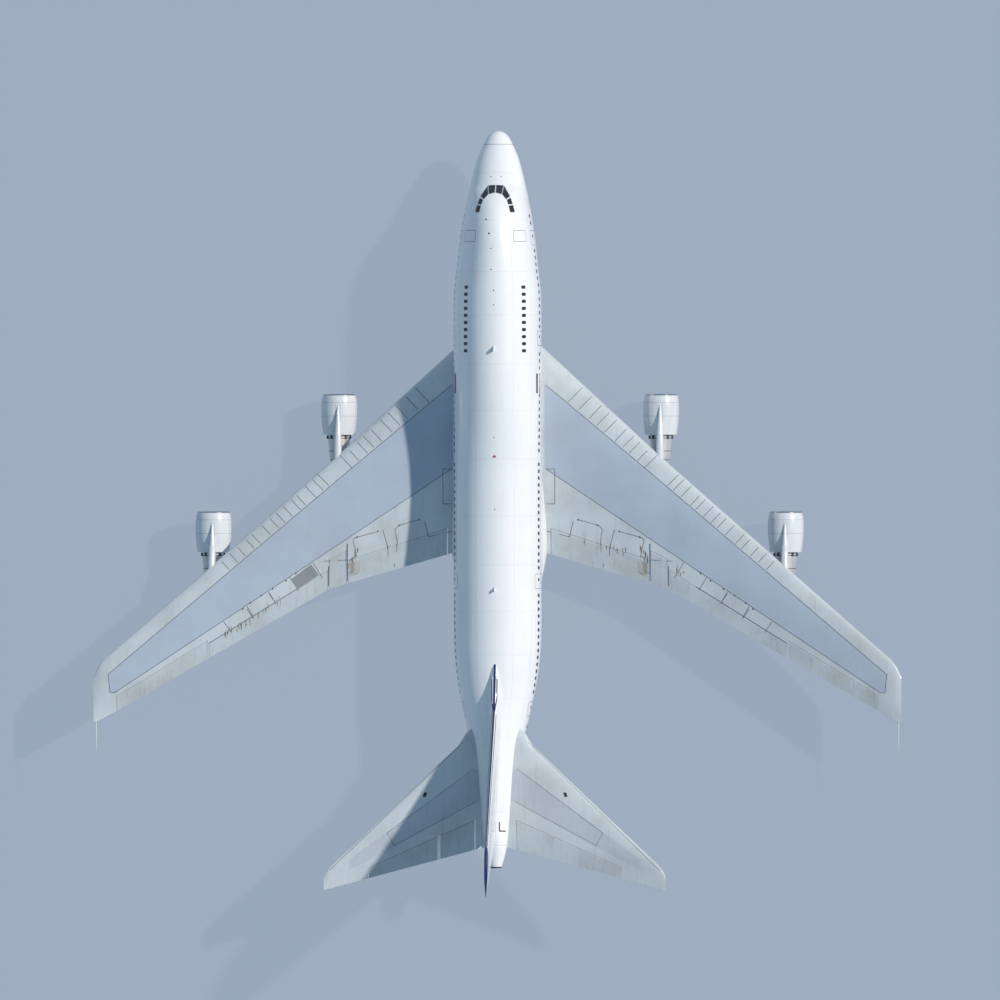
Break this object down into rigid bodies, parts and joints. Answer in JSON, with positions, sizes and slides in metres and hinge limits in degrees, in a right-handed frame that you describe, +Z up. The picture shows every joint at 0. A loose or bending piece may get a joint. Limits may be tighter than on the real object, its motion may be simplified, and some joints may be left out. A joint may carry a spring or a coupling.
{
  "type": "half-scale model of a wide-body airliner",
  "caption": "Half-scale wide-body jet airliner parked on its gear: swept low wings with podded engines, tall fin, moving control surfaces, steering and rolling wheels.",
  "frame": {"origin": "on the ground under the middle of the overall box, on the centreline", "axes": "+Z up, nose towards -Y, port wing towards +X"},
  "size_m": [29.82, 28.155, 9.97],
  "materials": {
    "white_paint": "gloss",
    "wing_grey": "satin",
    "fin_blue": "gloss",
    "bare_metal": "polished",
    "fan_metal": "satin",
    "hot_metal": "heat stained",
    "gear_paint": "gloss",
    "tyre": "worn"
  },
  "bodies": {
    "airframe": {"fuselage": "white_paint", "radome": "white_paint", "tail_cone": "bare_metal", "wing_body_fairing": "white_paint", "fin": "fin_blue", "nose_gear_leg": "gear_paint", "nose_gear_door_left": "white_paint", "nose_gear_door_right": "white_paint", "wing_left": "wing_grey", "stabilizer_left": "wing_grey", "wing_gear_leg_left": "gear_paint", "body_gear_leg_left": "gear_paint", "nacelle_inboard_left": "white_paint", "engine_core_inboard_left": "hot_metal", "pylon_inboard_left": "white_paint", "nacelle_outboard_left": "white_paint", "engine_core_outboard_left": "hot_metal", "pylon_outboard_left": "white_paint", "wing_right": "wing_grey", "stabilizer_right": "wing_grey", "wing_gear_leg_right": "gear_paint", "body_gear_leg_right": "gear_paint", "nacelle_inboard_right": "white_paint", "engine_core_inboard_right": "hot_metal", "pylon_inboard_right": "white_paint", "nacelle_outboard_right": "white_paint", "engine_core_outboard_right": "hot_metal", "pylon_outboard_right": "white_paint"},
    "flap_inboard_left": {"flap_inboard_left": "wing_grey"},
    "flap_inboard_right": {"flap_inboard_right": "wing_grey"},
    "flap_outboard_left": {"flap_outboard_left": "wing_grey"},
    "flap_outboard_right": {"flap_outboard_right": "wing_grey"},
    "aileron_inboard_left": {"aileron_inboard_left": "wing_grey"},
    "aileron_inboard_right": {"aileron_inboard_right": "wing_grey"},
    "aileron_outboard_left": {"aileron_outboard_left": "wing_grey"},
    "aileron_outboard_right": {"aileron_outboard_right": "wing_grey"},
    "elevator_inboard_left": {"elevator_inboard_left": "wing_grey"},
    "elevator_inboard_right": {"elevator_inboard_right": "wing_grey"},
    "elevator_outboard_left": {"elevator_outboard_left": "wing_grey"},
    "elevator_outboard_right": {"elevator_outboard_right": "wing_grey"},
    "rudder_lower": {"rudder_lower": "fin_blue"},
    "rudder_upper": {"rudder_upper": "fin_blue"},
    "cargo_door_forward": {"cargo_door_forward": "white_paint"},
    "cargo_door_aft": {"cargo_door_aft": "white_paint"},
    "fan_inboard_left": {"fan_inboard_left": "fan_metal"},
    "fan_inboard_right": {"fan_inboard_right": "fan_metal"},
    "fan_outboard_left": {"fan_outboard_left": "fan_metal"},
    "fan_outboard_right": {"fan_outboard_right": "fan_metal"},
    "nose_gear_fork": {"nose_gear_fork": "gear_paint"},
    "nose_wheels": {"nose_wheels": "tyre"},
    "body_gear_bogie_left": {"body_gear_bogie_left": "gear_paint"},
    "wing_gear_wheels_front_left": {"wing_gear_wheels_front_left": "tyre"},
    "wing_gear_wheels_rear_left": {"wing_gear_wheels_rear_left": "tyre"},
    "body_gear_wheels_front_left": {"body_gear_wheels_front_left": "tyre"},
    "body_gear_wheels_rear_left": {"body_gear_wheels_rear_left": "tyre"},
    "body_gear_bogie_right": {"body_gear_bogie_right": "gear_paint"},
    "wing_gear_wheels_front_right": {"wing_gear_wheels_front_right": "tyre"},
    "wing_gear_wheels_rear_right": {"wing_gear_wheels_rear_right": "tyre"},
    "body_gear_wheels_front_right": {"body_gear_wheels_front_right": "tyre"},
    "body_gear_wheels_rear_right": {"body_gear_wheels_rear_right": "tyre"}
  },
  "joints": [
    {"name": "flap_inboard_left_hinge", "type": "hinge", "parent": "airframe", "child": "flap_inboard_left", "pos_m": [1.9, 0.6225, 1.52654], "axis": [-0.9481, -0.3027, -0.0972], "range_deg": [0, 30]},
    {"name": "flap_inboard_right_hinge", "type": "hinge", "parent": "airframe", "child": "flap_inboard_right", "pos_m": [-1.9, 0.6225, 1.52654], "axis": [-0.9481, 0.3027, 0.0972], "range_deg": [0, 30]},
    {"name": "flap_outboard_left_hinge", "type": "hinge", "parent": "airframe", "child": "flap_outboard_left", "pos_m": [6.295, 2.1625, 1.97732], "axis": [-0.8477, -0.5233, -0.0871], "range_deg": [0, 30]},
    {"name": "flap_outboard_right_hinge", "type": "hinge", "parent": "airframe", "child": "flap_outboard_right", "pos_m": [-6.295, 2.1625, 1.97732], "axis": [-0.8477, 0.5233, 0.0871], "range_deg": [0, 30]},
    {"name": "aileron_inboard_left_hinge", "type": "hinge", "parent": "airframe", "child": "aileron_inboard_left", "pos_m": [5.605, 1.4475, 1.90654], "axis": [0.8934, 0.4399, 0.0916], "range_deg": [-20, 20]},
    {"name": "aileron_inboard_right_hinge", "type": "hinge", "parent": "airframe", "child": "aileron_inboard_right", "pos_m": [-5.605, 1.4475, 1.90654], "axis": [-0.8934, 0.4399, 0.0916], "range_deg": [-20, 20]},
    {"name": "aileron_outboard_left_hinge", "type": "hinge", "parent": "airframe", "child": "aileron_outboard_left", "pos_m": [10.72, 4.7525, 2.43178], "axis": [0.8501, 0.5194, 0.0873], "range_deg": [-15, 25]},
    {"name": "aileron_outboard_right_hinge", "type": "hinge", "parent": "airframe", "child": "aileron_outboard_right", "pos_m": [-10.72, 4.7525, 2.43178], "axis": [-0.8501, 0.5194, 0.0873], "range_deg": [-25, 15]},
    {"name": "elevator_inboard_left_hinge", "type": "hinge", "parent": "airframe", "child": "elevator_inboard_left", "pos_m": [0.75, 11.3625, 3.70625], "axis": [-0.9108, -0.3968, -0.114], "range_deg": [-23, 17]},
    {"name": "elevator_inboard_right_hinge", "type": "hinge", "parent": "airframe", "child": "elevator_inboard_right", "pos_m": [-0.75, 11.3625, 3.70625], "axis": [-0.9108, 0.3968, 0.114], "range_deg": [-23, 17]},
    {"name": "elevator_outboard_left_hinge", "type": "hinge", "parent": "airframe", "child": "elevator_outboard_left", "pos_m": [2.105, 11.9625, 3.87576], "axis": [-0.9092, -0.4007, -0.113], "range_deg": [-23, 17]},
    {"name": "elevator_outboard_right_hinge", "type": "hinge", "parent": "airframe", "child": "elevator_outboard_right", "pos_m": [-2.105, 11.9625, 3.87576], "axis": [-0.9092, 0.4007, 0.113], "range_deg": [-23, 17]},
    {"name": "rudder_lower_hinge", "type": "hinge", "parent": "airframe", "child": "rudder_lower", "pos_m": [0, 10.6475, 4.5], "axis": [0, -0.4796, -0.8775], "range_deg": [-25, 25]},
    {"name": "rudder_upper_hinge", "type": "hinge", "parent": "airframe", "child": "rudder_upper", "pos_m": [0, 12.0125, 7.005], "axis": [0, -0.4829, -0.8757], "range_deg": [-25, 25]},
    {"name": "cargo_door_forward_hinge", "type": "hinge", "parent": "airframe", "child": "cargo_door_forward", "pos_m": [-1.57749, -7.9275, 2.20576], "axis": [0, 1, 0], "range_deg": [0, 90]},
    {"name": "cargo_door_aft_hinge", "type": "hinge", "parent": "airframe", "child": "cargo_door_aft", "pos_m": [-1.57749, 4.3725, 2.20576], "axis": [0, 1, 0], "range_deg": [0, 90]},
    {"name": "fan_inboard_left_spin", "type": "hinge", "parent": "airframe", "child": "fan_inboard_left", "pos_m": [5.95, -3.8775, 1.065], "axis": [0, 1, 0], "continuous": true},
    {"name": "fan_inboard_right_spin", "type": "hinge", "parent": "airframe", "child": "fan_inboard_right", "pos_m": [-5.95, -3.8775, 1.065], "axis": [0, 1, 0], "continuous": true},
    {"name": "fan_outboard_left_spin", "type": "hinge", "parent": "airframe", "child": "fan_outboard_left", "pos_m": [10.575, 0.4525, 1.425], "axis": [0, 1, 0], "continuous": true},
    {"name": "fan_outboard_right_spin", "type": "hinge", "parent": "airframe", "child": "fan_outboard_right", "pos_m": [-10.575, 0.4525, 1.425], "axis": [0, 1, 0], "continuous": true},
    {"name": "nose_steering", "type": "hinge", "parent": "airframe", "child": "nose_gear_fork", "pos_m": [0, -10.2775, 0.68], "axis": [0, 0, 1], "range_deg": [-70, 70]},
    {"name": "nose_wheels_spin", "type": "hinge", "parent": "nose_gear_fork", "child": "nose_wheels", "pos_m": [0, -10.2775, 0.31], "axis": [1, 0, 0], "continuous": true},
    {"name": "body_gear_steering_left", "type": "hinge", "parent": "airframe", "child": "body_gear_bogie_left", "pos_m": [0.96, 0.7375, 0.6], "axis": [0, 0, -1], "range_deg": [-13, 13]},
    {"name": "wing_gear_wheels_front_left_spin", "type": "hinge", "parent": "airframe", "child": "wing_gear_wheels_front_left", "pos_m": [2.75, -1.17, 0.31], "axis": [1, 0, 0], "continuous": true},
    {"name": "wing_gear_wheels_rear_left_spin", "type": "hinge", "parent": "airframe", "child": "wing_gear_wheels_rear_left", "pos_m": [2.75, -0.435, 0.31], "axis": [1, 0, 0], "continuous": true},
    {"name": "body_gear_wheels_front_left_spin", "type": "hinge", "parent": "body_gear_bogie_left", "child": "body_gear_wheels_front_left", "pos_m": [0.96, 0.37, 0.31], "axis": [1, 0, 0], "continuous": true},
    {"name": "body_gear_wheels_rear_left_spin", "type": "hinge", "parent": "body_gear_bogie_left", "child": "body_gear_wheels_rear_left", "pos_m": [0.96, 1.105, 0.31], "axis": [1, 0, 0], "continuous": true},
    {"name": "body_gear_steering_right", "type": "hinge", "parent": "airframe", "child": "body_gear_bogie_right", "pos_m": [-0.96, 0.7375, 0.6], "axis": [0, 0, -1], "range_deg": [-13, 13]},
    {"name": "wing_gear_wheels_front_right_spin", "type": "hinge", "parent": "airframe", "child": "wing_gear_wheels_front_right", "pos_m": [-2.75, -1.17, 0.31], "axis": [1, 0, 0], "continuous": true},
    {"name": "wing_gear_wheels_rear_right_spin", "type": "hinge", "parent": "airframe", "child": "wing_gear_wheels_rear_right", "pos_m": [-2.75, -0.435, 0.31], "axis": [1, 0, 0], "continuous": true},
    {"name": "body_gear_wheels_front_right_spin", "type": "hinge", "parent": "body_gear_bogie_right", "child": "body_gear_wheels_front_right", "pos_m": [-0.96, 0.37, 0.31], "axis": [1, 0, 0], "continuous": true},
    {"name": "body_gear_wheels_rear_right_spin", "type": "hinge", "parent": "body_gear_bogie_right", "child": "body_gear_wheels_rear_right", "pos_m": [-0.96, 1.105, 0.31], "axis": [1, 0, 0], "continuous": true}
  ]
}
